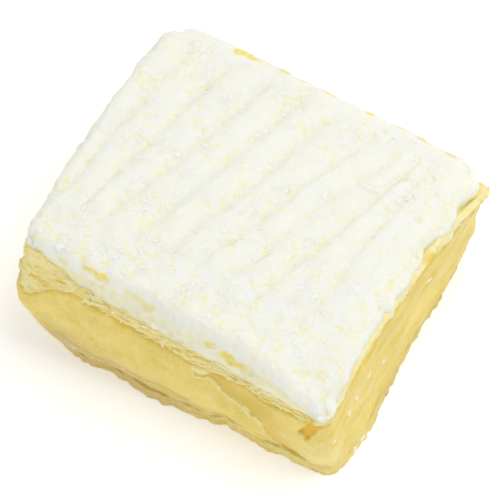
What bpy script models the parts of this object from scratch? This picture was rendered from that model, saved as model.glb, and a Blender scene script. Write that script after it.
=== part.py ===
"""A mille feuille slice: pastry base, thick custard, thin pastry lid and a combed cream top.

Each layer is one closed solid that runs right through the slice. Sizes are in millimetres here and
become metres as each mesh is finished. +Z is up and the slice stands on Z = 0. +X runs along the
front from left to right, and the front faces -Y.
"""

from collections import namedtuple

import bmesh
import bpy
import numpy as np
from mathutils import Vector, noise

MM = 0.001
GAP = 0.3  # air left between two layers that touch

# The slice in plan at one height. corners are back left, back right, front right and front left, each
# (x, y, corner radius). swell is how far the back, right, front and left sides stand out at their
# middle, and a negative swell is a hollow side.
Outline = namedtuple("Outline", "corners swell")

FOOT = Outline(((-41.3, 36.2, 8), (40.4, 37.6, 5), (41.0, -37.6, 6), (-38.7, -39.3, 12)), (0, 0.5, -0.6, 0))
BASE_RIM = Outline(((-41.8, 36.7, 8), (40.6, 38.1, 5), (39.9, -37.2, 6), (-40.5, -39.4, 10)), (0, 0.5, -0.9, 0))
WAIST = Outline(((-42.6, 37.0, 8), (42.0, 37.8, 5), (39.6, -37.1, 5), (-43.2, -39.9, 8)), (0.5, -0.4, -1.2, 0.3))
BULGE = Outline(((-43.0, 37.4, 8), (42.3, 38.2, 4), (38.7, -36.8, 5), (-44.9, -39.8, 5)), (0.4, -1.4, -2.0, 0.0))
SHOULDER = Outline(((-43.4, 37.9, 7), (42.6, 38.9, 3), (38.0, -36.2, 4), (-43.9, -37.7, 4)), (0, -2.4, -2.2, 0.6))
LID_RIM = Outline(((-43.9, 38.9, 7), (43.7, 39.9, 3), (37.7, -35.6, 3), (-43.0, -35.2, 4)), (0.3, -2.4, -1.0, 1.0))
CREAM_FOOT = Outline(((-43.6, 38.2, 7), (40.8, 38.8, 5), (37.5, -35.3, 3), (-42.5, -33.9, 3.5)), (0.3, -1.5, 0, 1.4))
CREAM_RIM = Outline(((-43.8, 38.2, 8), (41.8, 38.5, 7), (38.5, -36.3, 4), (-41.2, -34.5, 3.5)), (0.2, -1.2, -1.8, 1.9))
MIDDLE = (-1.0, 0.2)  # the middle of the whole in plan, which becomes the origin

# The level faces between the layers: height at X = 0, and rise for each millimetre of X. The slice has
# sunk towards its right side.
LEAN = -0.077
GROUND = (0, 0)
BASE_TOP = (3.4, 0)
CUSTARD_WAIST = (11.5, LEAN / 2)
CUSTARD_BULGE = (18.0, 0.75 * LEAN)
CUSTARD_TOP = (23.4, LEAN)
LID_TOP = (28.7, LEAN)
CREAM_TOP = (38.2, LEAN)

# The cream was spread with a toothed comb, which left ropes with a sharp crease on either side. Each
# crease is (x at mid depth, sideways run for each millimetre of Y, depth).
CREASES = (
    (-47.0, 0.05, 1.2),
    (-38.6, 0.10, 1.3),
    (-30.4, 0.18, 1.7),
    (-22.2, 0.25, 1.9),
    (-13.7, 0.27, 2.1),
    (-5.3, 0.28, 2.1),
    (3.4, 0.33, 1.9),
    (10.6, 0.34, 1.1),
    (18.0, 0.28, 2.2),
    (26.0, 0.14, 1.5),
    (36.5, 0.06, 0.6),
)
ROPE_SKEW = 0.85  # under 1 moves a rope's crown towards its left crease
ROPE_ROUND = 0.62  # power of the rope's arch: lower is flatter on top and sharper in the crease
ROPE_START = (-26.0, -16.0)  # the ropes rise out of the rough front border between these Y
ROPE_END = (35.0, 29.0)  # and sink into the back border between these
CREAM_EDGE = dict(left=3.0, right=6.5, front=2.8, back=3.0)  # widths of the rounded top edges
CREAM_EDGE_DROP = 3.2
CREAM_LUMP = 0.45  # height of the uneven lumps over the whole top
NEAR_CORNER_DROOP = 5.2  # the front right corner of the cream has slumped by this
DROOP_REACH = 11.0

RIM_POINTS = 120  # points round the outline of a flat layer
CREAM_GRID = (62, 26)  # cells of the cream's top along X and Y
CREAM_SIDE_RINGS = 3

Material = namedtuple("Material", "colour roughness subsurface")
PASTRY = Material((0.86, 0.73, 0.38), 0.7, 0.05)
CUSTARD = Material((0.81, 0.64, 0.23), 0.38, 0.15)
CREAM = Material((0.93, 0.93, 0.84), 0.6, 0.15)


def smooth(lo, hi, x):
    """0 below lo, 1 above hi and an even ease in between; hi may be the smaller of the two."""
    t = np.clip((x - lo) / (hi - lo), 0, 1)
    return t * t * (3 - 2 * t)


def level(plane, x):
    """Height of a level face over x."""
    return plane[0] + plane[1] * x


def mix(a, b, share):
    """The outline at that share of the way from outline a to outline b."""
    corners = [tuple(p + (q - p) * share for p, q in zip(*pair)) for pair in zip(a.corners, b.corners)]
    return Outline(tuple(corners), tuple(p + (q - p) * share for p, q in zip(a.swell, b.swell)))


def round_corner(u, v, outline):
    """Pulls points of the square [-1, 1] x [-1, 1] inside its rounded corners."""
    radius = np.array([c[2] for c in outline.corners])
    r = np.where(v >= 0, np.where(u < 0, radius[0], radius[1]), np.where(u < 0, radius[3], radius[2]))
    half_x = (outline.corners[1][0] - outline.corners[0][0]) / 2
    half_y = (outline.corners[1][1] - outline.corners[2][1]) / 2
    ru, rv = r / half_x, r / half_y
    rho = np.maximum(np.maximum(abs(u), abs(v)), 1e-9)
    a, b = abs(u) / rho, abs(v) / rho
    along = np.where(a >= b, (b - 1 + rv) / rv, (a - 1 + ru) / ru)
    turn = np.where(a >= b, along, 2 - along) * np.pi / 4
    on_arc = along > 0
    a = np.where(on_arc, 1 - ru + ru * np.cos(turn), a)
    b = np.where(on_arc, 1 - rv + rv * np.sin(turn), b)
    return np.sign(u) * a * rho, np.sign(v) * b * rho


def plan(outline, u, v):
    """Where points of the square lie in plan, for one outline."""
    u, v = round_corner(u, v, outline)
    s, t = (1 + u) / 2, (1 + v) / 2
    weights = ((1 - s) * t, s * t, s * (1 - t), (1 - s) * (1 - t))
    x = sum(w * c[0] for w, c in zip(weights, outline.corners))
    y = sum(w * c[1] for w, c in zip(weights, outline.corners))
    back, right, front, left = outline.swell
    x = x + (right * s - left * (1 - s)) * (1 - v * v)
    y = y + (back * t - front * (1 - t)) * (1 - u * u)
    return x, y


def uneven(x, y, z, size, seed):
    """Smooth noise from about -1 to 1 whose lumps are about size across."""
    points = np.stack([x / size + seed, y / size, z / size], 1)
    return np.array([noise.noise(Vector(p)) for p in points]) * 1.6


def rope_arch(x, y):
    """How far the comb cut below the ropes' crowns at each point: 0 on a crown, the depth in a crease."""
    cut = np.zeros_like(x)
    for (x0, run0, depth0), (x1, run1, depth1) in zip(CREASES, CREASES[1:]):
        left, right = x0 + run0 * y, x1 + run1 * y
        share = (x - left) / (right - left)
        inside = (share >= 0) & (share <= 1)
        share = np.clip(share, 0, 1) ** ROPE_SKEW
        arch = np.clip(4 * share * (1 - share), 0, 1) ** ROPE_ROUND
        cut = np.where(inside, (depth0 + (depth1 - depth0) * share) * (1 - arch), cut)
    return cut * smooth(*ROPE_START, y) * smooth(*ROPE_END, y)


def cream_height(u, v, x, y):
    """Height of the cream's top over each point, with ropes, lumps, rounded edges and slumped corner."""
    half_x, half_y = 41.0, 36.5
    edge_x = np.where(u < 0, CREAM_EDGE["left"], CREAM_EDGE["right"])
    edge_y = np.where(v < 0, CREAM_EDGE["front"], CREAM_EDGE["back"])
    into_x = np.clip(1 - (1 - abs(u)) * half_x / edge_x, 0, 1)
    into_y = np.clip(1 - (1 - abs(v)) * half_y / edge_y, 0, 1)
    into = np.clip(np.hypot(into_x, into_y), 0, 1)
    corner = np.array(CREAM_RIM.corners[2][:2])
    reach = np.hypot(x - corner[0], y - corner[1]) / DROOP_REACH
    return (
        level(CREAM_TOP, x)
        - rope_arch(x, y)
        - CREAM_EDGE_DROP * (1 - np.sqrt(1 - into**2))
        + CREAM_LUMP * uneven(x, y, 0 * x, 9, 3)
        - NEAR_CORNER_DROOP * np.exp(-(reach**2))
    )


def shape(bm, rule):
    """Moves every vertex of bm to where rule(x, y, z) says, and turns the faces outwards."""
    old = np.array([v.co for v in bm.verts])
    new = np.stack(rule(*old.T), 1) - (*MIDDLE, 0)
    for vertex, co in zip(bm.verts, new * MM):
        vertex.co = co
    bmesh.ops.recalc_face_normals(bm, faces=bm.faces)


def stack(rings):
    """A closed disc of unit radius with that many rings, at Z = 0, 1, 2 and so on."""
    bm = bmesh.new()
    bmesh.ops.create_circle(bm, cap_ends=True, radius=1, segments=RIM_POINTS)
    top = bm.faces[:]
    for ring in range(1, rings):
        made = bmesh.ops.extrude_face_region(bm, geom=top)["geom"]
        if ring > 1:
            bmesh.ops.delete(bm, geom=top, context="FACES_ONLY")
        top = [g for g in made if isinstance(g, bmesh.types.BMFace)]
        bmesh.ops.translate(bm, vec=(0, 0, 1), verts=top[0].verts)
    return bm


def flat_layer(stations, ragged, size, seed):
    """A layer between level faces. stations are (outline, plane, inset) from its underside to its top."""

    def rule(x, y, z):
        rim = np.maximum(abs(x), abs(y))
        u, v = x / rim, y / rim
        out = np.zeros((3, len(x)))
        for number, (outline, plane, inset) in enumerate(stations):
            here = np.rint(z) == number
            px, py = plan(outline, u, v)
            pz = level(plane, px)
            grow = (ragged * uneven(px, py, pz, size, seed) - inset) / np.hypot(px, py)
            px, py = px * (1 + grow), py * (1 + grow)
            out = np.where(here, (px, py, level(plane, px)), out)
        return out

    bm = stack(len(stations))
    shape(bm, rule)
    return bm


def between(low, high, share):
    """The plane at that share of the way from one plane to another."""
    return tuple(a + (b - a) * share for a, b in zip(low, high))


def lifted(plane, rise):
    return (plane[0] + rise, plane[1])


def pastry_base():
    top = BASE_TOP
    stations = [
        (FOOT, GROUND, 0.5),
        (mix(FOOT, BASE_RIM, 0.3), between(GROUND, top, 0.3), 0),
        (mix(FOOT, BASE_RIM, 0.75), between(GROUND, top, 0.75), 0.1),
        (BASE_RIM, top, 0.7),
    ]
    return flat_layer(stations, 0.45, 5, 11)


def custard():
    low, high = lifted(BASE_TOP, GAP), CUSTARD_TOP
    stations = [
        (BASE_RIM, low, 0.5),
        (mix(BASE_RIM, WAIST, 0.15), between(low, CUSTARD_WAIST, 0.15), 0),
        (mix(BASE_RIM, WAIST, 0.6), between(low, CUSTARD_WAIST, 0.6), 0),
        (WAIST, CUSTARD_WAIST, 0),
        (BULGE, CUSTARD_BULGE, 0),
        (mix(BULGE, SHOULDER, 0.8), between(CUSTARD_BULGE, high, 0.8), 0),
        (SHOULDER, high, 0.8),
    ]
    return flat_layer(stations, 0.4, 12, 5)


def pastry_lid():
    low, high = lifted(CUSTARD_TOP, GAP), LID_TOP
    stations = [
        (SHOULDER, low, 0.6),
        (mix(SHOULDER, LID_RIM, 0.3), between(low, high, 0.3), -0.1),
        (mix(SHOULDER, LID_RIM, 0.75), between(low, high, 0.75), 0),
        (LID_RIM, high, 0.5),
    ]
    return flat_layer(stations, 0.5, 5, 29)


def cream_top():
    """The cream: a gridded, combed top with sides hung from its rim down to the lid."""
    bm = bmesh.new()
    bmesh.ops.create_grid(bm, x_segments=CREAM_GRID[0], y_segments=CREAM_GRID[1], size=1)
    for _ in range(CREAM_SIDE_RINGS):
        rim = [e for e in bm.edges if e.is_boundary]
        low = bmesh.ops.extrude_edge_only(bm, edges=rim)["geom"]
        bmesh.ops.translate(bm, vec=(0, 0, -1), verts=[g for g in low if isinstance(g, bmesh.types.BMVert)])
    bmesh.ops.edgeloop_fill(bm, edges=[e for e in bm.edges if e.is_boundary])

    def rule(u, v, z):
        down = -z / CREAM_SIDE_RINGS
        top_x, top_y = plan(CREAM_RIM, u, v)
        low_x, low_y = plan(CREAM_FOOT, u, v)
        x, y = top_x + (low_x - top_x) * down, top_y + (low_y - top_y) * down
        top_z = cream_height(u, v, top_x, top_y)
        low_z = level(lifted(LID_TOP, GAP), x)
        return x, y, top_z + (low_z - top_z) * down

    shape(bm, rule)
    return bm


def finish_material(name, look):
    material = bpy.data.materials.new(name)
    material.use_nodes = True
    shader = material.node_tree.nodes["Principled BSDF"]
    shader.inputs["Base Color"].default_value = (*look.colour, 1)
    shader.inputs["Roughness"].default_value = look.roughness
    shader.inputs["Metallic"].default_value = 0
    shader.inputs["Subsurface Weight"].default_value = look.subsurface
    return material


def add_layer(name, bm, look):
    mesh = bpy.data.meshes.new(name)
    bm.to_mesh(mesh)
    bm.free()
    mesh.materials.append(finish_material(name, look))
    mesh.shade_smooth()
    mesh.set_sharp_from_angle(angle=np.radians(50))
    layer = bpy.data.objects.new(name, mesh)
    bpy.context.scene.collection.objects.link(layer)


def build():
    for old in list(bpy.data.objects):
        bpy.data.objects.remove(old)
    add_layer("pastry_base", pastry_base(), PASTRY)
    add_layer("custard", custard(), CUSTARD)
    add_layer("pastry_lid", pastry_lid(), PASTRY)
    add_layer("cream_top", cream_top(), CREAM)


build()
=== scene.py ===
"""The looks of a mille feuille slice: combed cream with coconut, flaky lid, soft custard and pastry base.

Sizes are in millimetres here and become metres as each mesh is finished. +Z is up and the slice stands
on Z = 0. +X runs along the front from left to right, and the front faces -Y. The near corner is the
front right one. The outlines, levels and comb ropes follow those of the CAD solids, and each of the
four main pieces stands for one of them.
"""

from collections import namedtuple

import bmesh
import bpy
import numpy as np
from mathutils import Matrix, Vector, noise
from mathutils.bvhtree import BVHTree

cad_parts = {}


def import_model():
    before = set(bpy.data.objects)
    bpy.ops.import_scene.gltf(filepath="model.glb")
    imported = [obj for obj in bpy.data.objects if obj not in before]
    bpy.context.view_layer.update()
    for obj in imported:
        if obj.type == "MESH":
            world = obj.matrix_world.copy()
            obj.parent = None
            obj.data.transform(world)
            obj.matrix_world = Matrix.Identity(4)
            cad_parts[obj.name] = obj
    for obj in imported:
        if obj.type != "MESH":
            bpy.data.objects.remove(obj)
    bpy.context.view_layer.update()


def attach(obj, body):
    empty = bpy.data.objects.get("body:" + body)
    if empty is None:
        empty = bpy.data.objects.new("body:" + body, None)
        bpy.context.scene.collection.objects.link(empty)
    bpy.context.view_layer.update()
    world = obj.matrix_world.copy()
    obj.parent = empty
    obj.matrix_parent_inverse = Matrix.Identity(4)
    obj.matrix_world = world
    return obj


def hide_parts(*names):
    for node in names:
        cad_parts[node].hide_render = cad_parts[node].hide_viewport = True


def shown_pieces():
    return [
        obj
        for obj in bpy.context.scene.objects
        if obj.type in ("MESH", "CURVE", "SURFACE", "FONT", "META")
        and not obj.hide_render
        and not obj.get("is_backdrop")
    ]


MM = 0.001

# The slice in plan at one height. corners are back left, back right, front right and front left, each
# (x, y, corner radius). swell is how far the back, right, front and left sides stand out at their
# middle, and a negative swell is a hollow side.
Outline = namedtuple("Outline", "corners swell")

FOOT = Outline(
    ((-41.3, 36.2, 8), (40.4, 37.6, 5), (41.0, -37.6, 6), (-38.2, -39.3, 14)),
    (0, 0.5, -0.6, 0),
)
BASE_RIM = Outline(
    ((-41.8, 36.7, 8), (40.6, 38.1, 5), (39.9, -37.2, 6), (-39.9, -39.4, 12)),
    (0, 0.5, -0.9, 0),
)
WAIST = Outline(
    ((-42.6, 37.0, 8), (42.0, 37.8, 5), (39.6, -37.1, 5), (-43.2, -39.9, 8)),
    (0.5, -0.4, -1.2, 0.3),
)
BULGE = Outline(
    ((-43.0, 37.4, 8), (42.3, 38.2, 4), (38.7, -36.8, 5), (-44.0, -39.7, 5)),
    (0.4, -1.4, -2.0, 0.0),
)
SHOULDER = Outline(
    ((-43.4, 37.9, 7), (42.6, 38.9, 3), (38.0, -36.2, 4), (-43.5, -38.2, 4)),
    (0, -2.4, -2.2, 0.3),
)
LID_RIM = Outline(
    ((-43.9, 38.9, 7), (43.7, 39.9, 3), (37.7, -35.6, 3), (-42.3, -35.2, 4.5)),
    (0.3, -2.4, -1.0, 0.6),
)
CREAM_FOOT = Outline(
    ((-43.6, 38.2, 7), (40.8, 38.8, 5), (37.5, -35.3, 3), (-42.5, -33.9, 3.5)),
    (0.3, -1.5, 0, 1.4),
)
CREAM_RIM = Outline(
    ((-43.8, 38.2, 8), (41.8, 38.5, 7), (38.5, -36.3, 4), (-41.2, -34.5, 3.5)),
    (0.2, -1.2, -1.8, 1.9),
)
MIDDLE = (-1.0, 0.2)  # the middle of the whole in plan, which becomes the origin

# The level faces between the layers: height at X = 0, and rise for each millimetre of X.
LEAN = -0.077
GROUND = (0, 0)
BASE_TOP = (3.4, 0)
CUSTARD_WAIST = (11.5, LEAN / 2)
CUSTARD_BULGE = (18.0, 0.75 * LEAN)
CUSTARD_TOP = (23.4, LEAN)
LID_TOP = (28.7, LEAN)
CREAM_TOP = (38.2, LEAN)

# The comb's creases: (x at mid depth, sideways run for each millimetre of Y, depth).
CREASES = (
    (-47.0, 0.05, 1.2),
    (-38.6, 0.10, 1.3),
    (-30.4, 0.18, 1.7),
    (-22.2, 0.25, 1.9),
    (-13.7, 0.27, 2.1),
    (-5.3, 0.28, 2.1),
    (3.4, 0.33, 1.9),
    (10.6, 0.34, 1.1),
    (18.0, 0.28, 2.2),
    (26.0, 0.14, 1.5),
    (36.5, 0.06, 0.6),
    (47.0, 0.0, 0.0),
)
ROPE_SKEW = 0.85
ROPE_ROUND = 0.75
ROPE_START = (-26.0, -16.0)
ROPE_END = (35.0, 29.0)
ROPE_DEPTH = 0.78  # how much of its depth a crease keeps under the cream's own relief
ROPE_WANDER = 0.7  # how far a crease strays sideways from its line
CREASE_SOFT = 0.42  # rounds the bottom of a crease
CREAM_EDGE = dict(left=3.0, right=6.5, front=2.8, back=3.0)
CREAM_EDGE_DROP = 3.2
CREAM_HALF = (41.0, 36.5)  # half the cream's width and depth
CREAM_LUMP = 0.3
CREAM_SINK = 1.6  # how far the cream's foot reaches below the lid's top
CREAM_BULGE = 0.7  # how far the cream's side stands out half way down
SMEAR_LIFT = 0.15  # how far a smear raises the cream's top
NEAR_CORNER_DROOP = 5.2
DROOP_REACH = 11.0
CREAM_GRID = (236, 212)  # cells of the cream's top along X and Y
CREAM_SIDE_RINGS = 24
RIM_CROWDING = 0.35  # how much closer the cells lie near the cream's rim
# How far the cream's right edge is eaten inwards: points (y, depth). It stands out where the depth is
# negative.
CREAM_RIGHT = (
    (-40, -0.3), (-36, -0.4), (-34, -0.1), (-31.5, 0.9), (-29, 1.0), (-26, 0.3), (-23, 1.0), (-20, 1.2),
    (-17, 1.7), (-14, 1.2), (-11, 0.4), (-8, 1.5), (-5, 0.3), (-2, 0.8), (1, 0.2), (4, 0.85), (7, 0.3),
    (10, 1.1), (13, 2.2), (16, -0.4), (19, -1.5), (22, -0.8), (25, 1.1), (28, 1.8), (31, 1.4), (34, 0.2),
    (40, 0),
)
# Short cracks in the cream's top: (x, y) of both ends, half width and depth.
CRACKS = (
    ((30.0, 30.5), (34.4, 24.8), 0.3, 0.45),
    ((30.4, 21.6), (34.0, 16.0), 0.3, 0.45),
    ((11.5, 36.0), (18.5, 33.2), 0.3, 0.45),
    ((34.6, 0.6), (35.8, -3.0), 0.3, 0.4),
    ((-8.4, -13.2), (-6.8, -11.2), 0.4, 0.45),
    ((-0.4, -11.6), (1.4, -9.4), 0.4, 0.45),
    ((7.2, -12.4), (8.8, -9.8), 0.45, 0.5),
)

# How far the lid's lower and upper edges run above their levels, along the front (x, rise) and along the
# right side (y, rise).
SEAM_FRONT = (
    (-45, -6), (-39.6, -5.4), (-37, -3.0), (-34, 0.6), (-31.5, 2.4), (-28.5, 3.4), (-26.4, 3.2), (-22, 1.6),
    (-17, 0.9), (-12, -0.7), (-8.5, -1.4), (-0.2, -2.2), (8.2, -2.0), (12, -0.2), (16.9, 0.3), (20.4, -1.4),
    (27, -0.4), (31, 0), (34.5, 1.8), (37, 1.2), (40, 0.8),
)
SEAM_RIGHT = (
    (-36, 0.6), (-28, 2.2), (-20, 3.6), (-6, 4.2), (3, 4.2), (15, 4.5), (27, 4.2), (38, 2.5),
)
EDGE_FRONT = (
    (-45, 4), (-40.6, 4.1), (-37.4, 4.6), (-33.7, 1.9), (-29.8, 1.2), (-26.4, 0.5), (-16.8, -0.2),
    (-10, 0.3), (-4.8, 1.7), (0, 0.3), (4.8, 0), (8.9, 1.1), (12.7, 1.6), (16.2, 2.2), (19, 1.4),
    (22, -0.2), (25.6, -1.0), (28.5, -1.5), (32, -1.0), (35.6, 0.9), (40, 1.5),
)
EDGE_RIGHT = (
    (-36, 1.5), (-28, 4.0), (-20, 5.2), (-10, 4.8), (-5, 5.2), (4, 5.6), (9, 5.0), (12.5, 7.0), (17, 6.8),
    (23, 6.6), (30, 3.5), (38, 0.5),
)
# The custard's torn ledge on the front: points (x, z) from under the lid down to the base.
LEDGE = (
    (2.4, 21.8), (3.7, 17.6), (5.8, 18.3), (7.4, 19.1), (11.1, 17.5), (12.4, 17.1), (14.9, 15.9),
    (16.6, 16.0), (20.0, 14.3), (20.8, 14.9), (22.2, 12.0), (23.8, 7.3), (26.9, 3.9), (30.0, 3.2),
)
LEDGE_DEPTH = 0.4  # how far the torn part lies behind the skin that is left
LEDGE_LIP = 0.12  # how far that skin's edge stands out
GROOVE_DEPTH = 0.18
# How far the slice's foot stands out of its outline, along the front (x, push) and the right side
# (y, push).
FOOT_FRONT = (
    (-45, -0.8), (-34, -0.8), (-31.5, -0.9), (-28, -1.2), (-24, -1.2), (-20, -1.6), (-14.3, -0.9), (-8, 0),
    (-3.8, 0), (0.5, -0.4), (8.5, -0.6), (11.8, -2.1), (14.5, -1.8), (17, -1.4), (21, -1.0), (28, -1.1),
    (35, -1.4), (40, -0.8),
)
FOOT_RIGHT = (
    (-38, 0), (-33, 0), (-30, 0.4), (-25, 1.1), (-19, 1.2), (-12, 0.5), (-5, 0), (9, -0.6), (13, -0.6),
    (18, 0), (40, 0),
)
FOOT_REACH = (11.0, 1.0)  # heights between which the foot's push grows to its whole
# A faint groove low on the front: points (x, z).
GROOVE = (
    (-32, 12.0), (-26.3, 9.4), (-17.9, 6.5), (-11, 6.4), (-4.4, 7.4), (4, 5.0), (11.4, 4.7), (18.4, 6.4),
    (26.6, 4.8), (34, 4.2),
)
# A slot torn in the custard's front: its middle (x, z), half length, half width, turn in degrees and depth.
POCKET = dict(at=(33.8, 18.6), half_length=4.2, half_width=1.5, turn=65, depth=0.8)
GLOW = (38.5, -36.5, 8.0, 7.0)  # middle and reach of the painted pool of light at the near corner
CROWD = (0.2, -0.3)  # draws the side's points together towards the front and right
CUSTARD_RINGS = 76
CUSTARD_POINTS = 900
CUSTARD_ROUND = 1.5  # radius of the custard's top edge
CUSTARD_MARKS = ("deep", "lip", "low", "shade", "drag")
PASTRY_MARKS = ("hollow", "leaf", "pale", "low", "smear", "along", "across")
LOWEST = 0.02  # the least height of a layer's underside above the ground
# How far the lid's top swells under the cream: (way in from its edge, rise).
LID_CROWN = ((0, 0), (0.5, 0.5), (1.5, 1.2), (3, 1.2), (4, 0))
THIN_CREAM = (3, 9)  # distances from the near corner between which the lid's crown grows to its whole
CORNER_DIP = 0.3  # how far the lid's top sinks at the near corner


def smooth(lo, hi, x):
    """0 below lo, 1 above hi and an even ease in between; hi may be the smaller of the two."""
    t = np.clip((x - lo) / (hi - lo), 0, 1)
    return t * t * (3 - 2 * t)


def level(plane, x):
    """Height of a level face over x."""
    return plane[0] + plane[1] * x


def round_corner(u, v, outline):
    """Pulls points of the square [-1, 1] x [-1, 1] inside its rounded corners."""
    radius = np.array([c[2] for c in outline.corners])
    r = np.where(v >= 0, np.where(u < 0, radius[0], radius[1]), np.where(u < 0, radius[3], radius[2]))
    half_x = (outline.corners[1][0] - outline.corners[0][0]) / 2
    half_y = (outline.corners[1][1] - outline.corners[2][1]) / 2
    ru, rv = r / half_x, r / half_y
    rho = np.maximum(np.maximum(abs(u), abs(v)), 1e-9)
    a, b = abs(u) / rho, abs(v) / rho
    along = np.where(a >= b, (b - 1 + rv) / rv, (a - 1 + ru) / ru)
    turn = np.where(a >= b, along, 2 - along) * np.pi / 4
    on_arc = along > 0
    a = np.where(on_arc, 1 - ru + ru * np.cos(turn), a)
    b = np.where(on_arc, 1 - rv + rv * np.sin(turn), b)
    return np.sign(u) * a * rho, np.sign(v) * b * rho


def plan(outline, u, v):
    """Where points of the square lie in plan, for one outline."""
    u, v = round_corner(u, v, outline)
    s, t = (1 + u) / 2, (1 + v) / 2
    weights = ((1 - s) * t, s * t, s * (1 - t), (1 - s) * (1 - t))
    x = sum(w * c[0] for w, c in zip(weights, outline.corners))
    y = sum(w * c[1] for w, c in zip(weights, outline.corners))
    back, right, front, left = outline.swell
    x = x + (right * s - left * (1 - s)) * (1 - v * v)
    y = y + (back * t - front * (1 - t)) * (1 - u * u)
    return x, y


def turned(a, b, turn):
    """(a, b) turned by an angle in radians."""
    return a * np.cos(turn) - b * np.sin(turn), a * np.sin(turn) + b * np.cos(turn)


def on_square(x, y):
    """The point of the square's rim in the direction of (x, y)."""
    rim = np.maximum(abs(x), abs(y))
    return x / rim, y / rim


def rim_of(outline, x, y):
    """Points on an outline in the directions (x, y), and the unit vectors that point out of it there."""
    turn = 0.004
    ahead = plan(outline, *on_square(x - turn * y, y + turn * x))
    behind = plan(outline, *on_square(x + turn * y, y - turn * x))
    out_x, out_y = ahead[1] - behind[1], behind[0] - ahead[0]
    length = np.hypot(out_x, out_y)
    return *plan(outline, *on_square(x, y)), out_x / length, out_y / length


# A smear: way is the side it lies on, at is (x, z) on the front, (y, z) on the right and (x, y) on the
# top, size is (length, height), turn is how far its length is turned, in degrees, and strength is how
# thick it is.
Smear = namedtuple("Smear", "way at size turn strength", defaults=[1])

CREAM_SMEARS = (
    Smear("front", (-22.2, 37.9), (8.4, 2.8), -10, 0.95),
    Smear("front", (-10.5, 35.4), (11.0, 3.4), -12, 0.6),
    Smear("front", (-40.1, 36.9), (3.2, 1.5), -20, 0.7),
    Smear("front", (-36.9, 37.6), (3.0, 1.5), 10, 0.7),
    Smear("front", (-31.5, 37.1), (4.2, 1.6), -20, 0.6),
    Smear("front", (-30.1, 34.1), (3.0, 1.5), -25, 0.7),
    Smear("front", (7.4, 32.5), (2.8, 2.2), 0, 0.85),
    Smear("front", (13.6, 31.7), (6.8, 2.9), -8),
    Smear("front", (-35.0, 34.6), (4.0, 1.2), -20),
    Smear("right", (11.0, 31.5), (4.0, 4.0), 0),
    Smear("top", (-22.2, 36.8), (10.0, 3.6), 2),
    Smear("top", (-12.6, 37.3), (3.0, 2.0), 0),
    Smear("top", (-7.6, 37.4), (2.4, 1.6), 0),
    Smear("top", (-0.2, 37.3), (3.2, 2.0), 10),
    Smear("top", (10.8, 37.4), (4.4, 2.2), 10),
    Smear("top", (18.8, 37.8), (3.8, 1.8), 8),
    Smear("top", (25.4, 37.8), (5.0, 2.0), 10),
    Smear("top", (32.4, 37.6), (7.4, 2.6), 8),
)
LID_STAINS = (
    Smear("front", (-37.4, 28.4), (8.0, 2.4), -6),
    Smear("front", (-31.0, 31.0), (3.0, 1.2), -10),
    Smear("right", (12.0, 31.0), (6.0, 3.4), 10),
    Smear("right", (25.0, 28.0), (10.0, 2.2), 0),
    Smear("right", (33.0, 25.6), (8.0, 2.8), 0, 0.8),
    Smear("right", (37.5, 24.0), (4.0, 2.4), 0, 0.7),
    Smear("right", (0.0, 29.6), (5.0, 1.0), 0, 0.7),
    Smear("right", (-9.0, 28.4), (7.0, 0.9), 2, 0.7),
    Smear("right", (-24.0, 27.4), (8.0, 1.0), 2, 0.7),
)
CUSTARD_STAINS = (
    Smear("front", (-14.0, 25.4), (5.0, 1.1), -20),
    Smear("front", (-0.5, 21.8), (1.8, 0.9), 0),
    Smear("front", (3.6, 21.2), (3.2, 1.0), -15),
    Smear("front", (-22.7, 15.5), (1.3, 1.3), 0),
    Smear("front", (-34.2, 13.0), (4.4, 1.4), -35),
    Smear("front", (-3.9, 5.4), (2.6, 1.1), -20),
    Smear("front", (27.6, 4.0), (2.4, 1.1), -10),
    Smear("right", (-28.0, 15.0), (3.6, 1.2), 10, 0.6),
    Smear("right", (-14.0, 23.0), (8.0, 1.4), 4, 0.6),
    Smear("right", (-30.0, 17.5), (9.0, 1.6), 14, 0.6),
)
CUSTARD_FLAPS = (
    Smear("front", (4.8, 19.9), (4.6, 3.2), -15),
    Smear("front", (17.8, 15.2), (3.0, 1.2), -40),
    Smear("front", (22.6, 21.5), (4.0, 1.0), -20),
)


def smears_at(smears, x, y, z, front, right, top):
    """How thickly each point is smeared, from 0 to 1. front, right and top say which side it lies on."""
    found = np.zeros(len(x))
    for number, smear in enumerate(smears):
        across, up, here = dict(front=(x, z, front), right=(y, z, right), top=(x, y, top))[smear.way]
        run, rise = turned(across - smear.at[0], up - smear.at[1], -np.radians(smear.turn))
        reach = np.hypot(run / smear.size[0] * 2, rise / smear.size[1] * 2)
        reach = reach + 0.35 * uneven(x, y, z, 2.2, 201 + number)
        found = np.maximum(found, smooth(1.1, 0.6, reach) * here * smear.strength)
    return found


def uneven(x, y, z, size, seed):
    """Smooth noise from about -1 to 1 whose lumps are about size across; size may be one for each axis."""
    points = np.stack([x, y, z], 1) / size + seed * 7.31
    return np.array([noise.noise(Vector(p)) for p in points]) * 1.6


def rough(x, y, z, *kinds):
    """Several kinds of unevenness at once, each of them (depth, size, seed)."""
    return sum(depth * uneven(x, y, z, size, seed) for depth, size, seed in kinds)


def sides(out_x, out_y):
    """How far each point faces the front, right, back and left, from 0 to 1."""
    ways = ((0, -1), (1, 0), (0, 1), (-1, 0))
    return [smooth(0.45, 0.9, out_x * way[0] + out_y * way[1]) for way in ways]


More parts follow.
